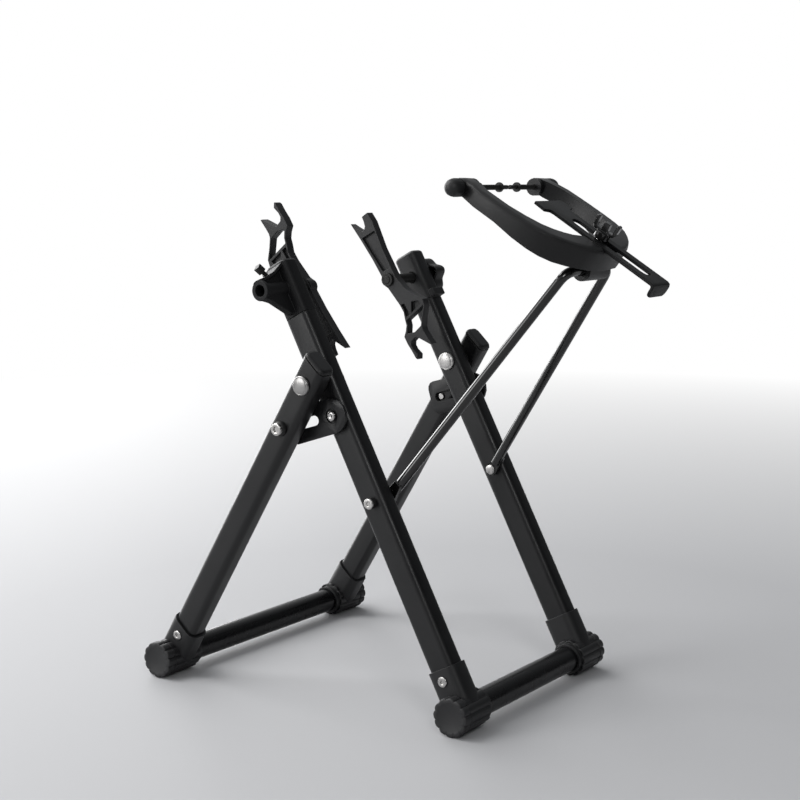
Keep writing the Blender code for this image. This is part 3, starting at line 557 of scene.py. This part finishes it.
def make_knob(node, body, side):
    """A feeler's grip: a ribbed band and a smooth dome."""
    radius, (inner, outer) = across(node)[1:]
    grip = radius - KNOB_RIB_HEIGHT
    floor = inner + KNOB_BORE_DEPTH
    dome = inner + KNOB_DOME
    profile = [(floor, 0), (floor, KNOB_BORE), (inner, KNOB_BORE), (inner, grip - 0.8 * MM),
               (inner + 0.6 * MM, grip)]
    profile += [(inner + (1.0 + 0.5 * i) * MM, grip) for i in range(KNOB_BAND_STATIONS)]
    profile += [(dome, grip)]
    for i in range(1, KNOB_DOME_STEPS):
        turn = pi / 2 * i / KNOB_DOME_STEPS
        profile.append((dome + (outer - dome) * sin(turn), grip * cos(turn)))
    profile.append((outer, 0))
    wave = ribbed(KNOB_RIBS, KNOB_RIB_HEIGHT, inner + KNOB_BAND[0], inner + KNOB_BAND[1])
    turned(node, body, side, profile, PLASTIC, GRIP_ROUND, wave=wave, crease=GRIP_SHARP_ANGLE)


def make_feeler(where, side, point, disc):
    """A threaded rod with a point and a rim disc, at the places given along it."""
    node = "feeler_screw_" + where
    outer = across(node)[2][1]
    low, high = disc - 1.5 * MM, disc + 1.5 * MM
    profile = [(point, 0), (point, FEELER_NECK - 1.0 * MM), (point + 0.8 * MM, FEELER_NECK),
               (low, FEELER_NECK), (low, FEELER_DISC - 0.3 * MM), (disc - 1.1 * MM, FEELER_DISC),
               (disc + 1.1 * MM, FEELER_DISC), (high, FEELER_DISC - 0.3 * MM)]
    profile += thread_stations(high, outer - 0.6 * MM, FEELER_PITCH, FEELER_RADIUS)
    profile += [(outer, FEELER_RADIUS - 0.6 * MM), (outer, 0)]
    wave = threaded(FEELER_PITCH, FEELER_STARTS, FEELER_THREAD, side,
                    disc + 2.5 * MM, outer - 1.0 * MM)
    turned(node, where + "_feeler", side, profile, DARK_STEEL, FEELER_ROUND, wave=wave)


def make_far_spindle():
    """The threaded spindle of the star knob, with a plain neck for the plate."""
    node = "spindle_far"
    radius, (inner, outer) = across(node)[1:]
    shoulder = across("thrust_washer_far")[2][1] + 0.3 * MM
    profile = tip(inner, SPINDLE_NECK, 0.6 * MM)[::-1]
    profile += [(shoulder, SPINDLE_NECK), (shoulder, radius - 0.4 * MM),
                (shoulder + 0.4 * MM, radius)]
    profile += thread_stations(shoulder + 0.8 * MM, outer - 1.0 * MM, SPINDLE_PITCH, radius)
    profile += [(outer, radius - 0.8 * MM), (outer, 0)]
    wave = threaded(SPINDLE_PITCH, 1, SPINDLE_THREAD, 1, shoulder + 1.5 * MM, outer - 1.2 * MM)
    turned(node, "far_spindle", 1, profile, DARK_STEEL, SPINDLE_ROUND, wave=wave)


def make_star_knob():
    """A five-lobed hand knob, hollow round its hub on the side of the head."""
    node = "spindle_knob_far"
    middle = across("spindle_far")[0]
    inner, outer = across(node)[2]
    bore = across("spindle_far")[2][1] + 0.3 * MM
    waist = STAR_RADIUS

    def wave(_, angle):
        return STAR_LOBE_HEIGHT * cos(STAR_LOBES * (angle - STAR_TURN))

    hub = [(bore, 0), (bore, STAR_BORE), (inner, STAR_BORE), (inner, 10.2 * MM),
           (inner + 0.6 * MM, 10.8 * MM), (outer - 7.0 * MM, 11.2 * MM)]
    hollow = [(outer - 7.0 * MM, 17.0 * MM), (inner + 0.6 * MM, 17.8 * MM)]
    rim = [(inner, waist - 2.6 * MM), (inner, waist - 1.6 * MM),
           (inner + 0.5 * MM, waist - 0.5 * MM), (inner + 1.6 * MM, waist),
           (outer - 4.0 * MM, waist), (outer - 1.8 * MM, waist - 0.5 * MM),
           (outer - 0.6 * MM, waist - 1.8 * MM), (outer - 0.1 * MM, waist - 3.6 * MM),
           (outer, waist - 6.0 * MM)]
    face = [(outer, 9.0 * MM), (outer - 0.8 * MM, 8.4 * MM), (outer - 0.8 * MM, 0)]
    rings = round_rings(middle, 1, hub, GRIP_ROUND)
    rings += round_rings(middle, 1, hollow, GRIP_ROUND, wave)
    rings += round_rings(middle, 1, rim, GRIP_ROUND, wave)
    rings += round_rings(middle, 1, face, GRIP_ROUND)
    piece(node + "_turned", sections(rings), PLASTIC, "far_spindle", (node,),
          LOBE_SHARP_ANGLE)


# Stays, tubes and feet

def make_stay(where, side):
    """The slotted stay with a round recess for the head of its pin."""
    node = "folding_stay_" + where
    pin = across("stay_pin_" + where)[0]
    outer = across(node)[2][1]
    stay = add_object(node + "_recessed", NODES[node].data.copy())
    profile = [(outer - 2.0 * MM, 0), (outer - 2.0 * MM, 8.2 * MM), (outer - 0.2 * MM, 8.6 * MM),
               (outer + 1.0 * MM, 8.9 * MM), (outer + 1.0 * MM, 0)]
    recess = add_object("recess", as_data("recess", sections(round_rings(pin, side, profile))))
    add_weld(stay)
    cut = stay.modifiers.new("cut", "BOOLEAN")
    cut.object = recess
    cut.solver = "EXACT"
    whole = stay.evaluated_get(bpy.context.evaluated_depsgraph_get())
    shape = bpy.data.meshes.new_from_object(whole)
    stay.modifiers.clear()
    stay.data = shape
    bpy.data.objects.remove(recess)
    shape.materials.clear()
    shape.materials.append(POWDER)
    shape.shade_smooth()
    shape.set_sharp_from_angle(angle=SHARP_ANGLE)
    add_bevel(stay, STAY_EDGE, STAY_EDGE_SEGMENTS, STAY_SHARP_ANGLE)
    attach(stay, "stay_" + where)
    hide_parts(node)


def make_cross_tube(node, body):
    """The tube between two feet, with clean open ends."""
    middle, radius, (_, end) = across(node)
    lip = radius - TUBE_CHAMFER
    bore = radius - TUBE_WALL
    profile = [(-end, lip), (-end + TUBE_CHAMFER, radius), (end - TUBE_CHAMFER, radius), (end, lip),
               (end, bore), (-end, bore)]
    mesh = sections(round_rings(middle, 1, profile, TUBE_ROUND), loop=True)
    piece(node + "_turned", mesh, SATIN, body, (node,))


def make_foot_cap(node, body, side):
    """A lobed end cap with a soft rim, a faint step round its face and a plug in the tube."""
    middle, radius, (inner, outer) = across(node)
    back = outer - CAP_THICKNESS
    face = [(outer - 0.5 * MM, 0), (outer - 0.5 * MM, radius * 0.74),
            (outer - 0.1 * MM, radius * 0.77)]
    rim = [(outer, radius * 0.80), (outer, radius - 1.7 * MM),
           (outer - 0.3 * MM, radius - 0.8 * MM), (outer - 0.9 * MM, radius - 0.2 * MM),
           (outer - 1.7 * MM, radius), (back + 0.8 * MM, radius), (back, radius - 0.8 * MM)]
    plug = [(back, CAP_PLUG), (inner, CAP_PLUG), (inner, 0)]
    rings = round_rings(middle, side, face, LOBE_ROUND)
    rings += round_rings(middle, side, rim, LOBE_ROUND, lobes(CAP_LOBE_DEPTH))
    rings += round_rings(middle, side, plug, LOBE_ROUND)
    piece(node + "_lobed", sections(rings), RUBBER, body, (node,),
          LOBE_SHARP_ANGLE)


def make_flutes(name, body, side, middle, first, last):
    """The fluted skin of a socket's barrel, a sleeve of rounded ribs round the cross tube."""
    outside = [(first, FLUTE_RADIUS - 1.0 * MM), (first + 0.7 * MM, FLUTE_RADIUS),
               (last - 0.7 * MM, FLUTE_RADIUS), (last, FLUTE_RADIUS - 1.0 * MM)]
    rings = round_rings(middle, side, outside, LOBE_ROUND, lobes(FLUTE_DEPTH))
    rings += round_rings(middle, side, [(last, FLUTE_BORE), (first, FLUTE_BORE)], LOBE_ROUND)
    mesh = sections(rings, loop=True)
    piece(name, mesh, PLASTIC, body, (), LOBE_SHARP_ANGLE)


for where, side in SIDES.items():
    make_hinge(where, side)
    make_arm_pivot(where, side)
    make_bolt("stop_bolt_" + where, "rear_frame", side, **STOP_BOLT)
    make_collar("stop_bolt_collar_" + where, "rear_frame", side, **STOP_COLLAR)
    make_rivet("stay_pin_" + where, "front_frame", side, **STAY_PIN)
    make_stay(where, side)
    make_knob("feeler_knob_" + where, where + "_feeler_grip", side)
    for pair, body in BODY_OF_PAIR.items():
        make_bolt(f"{pair}_socket_screw_{where}", body, side, **SOCKET_SCREW)
        make_foot_cap(f"{pair}_foot_cap_{where}", body, side)
        axis = across(pair + "_cross_tube")[0]
        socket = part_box(f"{pair}_socket_{where}")
        span = sorted((abs(socket[0][1]), abs(socket[1][1])))
        make_flutes(f"{pair}_barrel_flutes_{where}", body, side, axis,
                    span[0] + FLUTES_FROM_SLEEVE, span[1] - FLUTES_FROM_CAP)
for pair, body in BODY_OF_PAIR.items():
    make_cross_tube(pair + "_cross_tube", body)
for where, side in SIDES.items():
    make_feeler(where, side, **FEELERS[where])
make_far_spindle()
make_star_knob()


# Floor, surroundings, camera and lamps

def mix_shaders(tree, share, first, second, output):
    """Shows the first shader, and the second one as far as the share goes."""
    mix = tree.nodes.new("ShaderNodeMixShader")
    link(tree, share, "Value", mix, 0)
    link(tree, first, 0, mix, 1)
    link(tree, second, 0, mix, 2)
    link(tree, mix, "Shader", tree.nodes[output], "Surface")


def make_floor():
    """A plane that fades to white, in full for the camera and in part for reflections."""
    mesh = bpy.data.meshes.new("floor")
    far = FLOOR_REACH
    corners = [(-far, -far, 0), (far, -far, 0), (far, far, 0), (-far, far, 0)]
    mesh.from_pydata(corners, [], [(0, 1, 2, 3)])
    floor = add_object("floor", mesh)
    material, tree, shader = shader_nodes("floor")
    shader.inputs["Base Color"].default_value = FLOOR_TONE
    shader.inputs["Roughness"].default_value = FLOOR_ROUGHNESS
    mesh.materials.append(material)
    coordinates = tree.nodes.new("ShaderNodeTexCoord")
    distance = tree.nodes.new("ShaderNodeVectorMath")
    distance.operation = "LENGTH"
    link(tree, coordinates, "Object", distance, 0)
    fade = ranged(tree, distance, "Value", FLOOR_FADE, 0.0, 1.0)
    glow = tree.nodes.new("ShaderNodeEmission")
    glow.inputs["Color"].default_value = WHITE
    path = tree.nodes.new("ShaderNodeLightPath")
    seen = arithmetic(tree, "MULTIPLY_ADD")
    seen.inputs[1].default_value = FLOOR_MIRRORED
    link(tree, path, "Is Glossy Ray", seen, 0)
    link(tree, path, "Is Camera Ray", seen, 2)
    share = arithmetic(tree, "MULTIPLY")
    link(tree, seen, "Value", share, 0)
    link(tree, fade, "Result", share, 1)
    mix_shaders(tree, share, shader, glow, "Material Output")


def make_world():
    """Ambient light that grows towards the window's side, and the white seen behind the stand.

    Camera and transmission rays see the white in full, glossy rays as far as they face the window.
    """
    world = bpy.data.worlds.new("studio")
    bpy.context.scene.world = world
    world.use_nodes = True
    tree = world.node_tree
    coordinates = tree.nodes.new("ShaderNodeTexCoord")
    facing = tree.nodes.new("ShaderNodeVectorMath")
    facing.operation = "DOT_PRODUCT"
    facing.inputs[1].default_value = WINDOW_DIRECTION
    link(tree, coordinates, "Generated", facing, 0)
    ambient = tree.nodes["Background"]
    ambient.inputs["Color"].default_value = AMBIENT_TONE
    level = ranged(tree, facing, "Value", AMBIENT_SPAN, *AMBIENT_STRENGTH)
    link(tree, level, "Result", ambient, "Strength")
    white = tree.nodes.new("ShaderNodeBackground")
    white.inputs["Color"].default_value = WHITE
    path = tree.nodes.new("ShaderNodeLightPath")
    mirrored = ranged(tree, facing, "Value", MIRRORED_SPAN, 0.0, 1.0)
    glossy = arithmetic(tree, "MULTIPLY_ADD")
    link(tree, path, "Is Glossy Ray", glossy, 0)
    link(tree, mirrored, "Result", glossy, 1)
    link(tree, path, "Is Transmission Ray", glossy, 2)
    seen = arithmetic(tree, "ADD")
    seen.use_clamp = True
    link(tree, path, "Is Camera Ray", seen, 0)
    link(tree, glossy, "Value", seen, 1)
    mix_shaders(tree, seen, ambient, white, "World Output")


def make_camera():
    data = bpy.data.cameras.new("camera")
    data.sensor_width = CAMERA_SENSOR
    data.lens = CAMERA_LENS
    camera = add_object("camera", data)
    camera.location = CAMERA_PLACE
    camera.rotation_euler = (radians(90 - CAMERA_DOWN), 0, radians(CAMERA_ROUND))
    bpy.context.scene.camera = camera


def add_lamp(name, place, height, power, size):
    """An area lamp that points at a height above the middle of the stand."""
    data = bpy.data.lights.new(name, "AREA")
    data.shape = "RECTANGLE"
    data.size, data.size_y = size
    data.energy = power
    lamp = add_object(name, data)
    lamp.location = place
    aim = Vector((0, 0, height)) - Vector(place)
    lamp.rotation_euler = aim.to_track_quat("-Z", "Y").to_euler()


make_floor()
make_world()
make_camera()
for name, lamp in LAMPS.items():
    add_lamp(name, **lamp)

scene = bpy.context.scene
scene.view_settings.view_transform = "Standard"
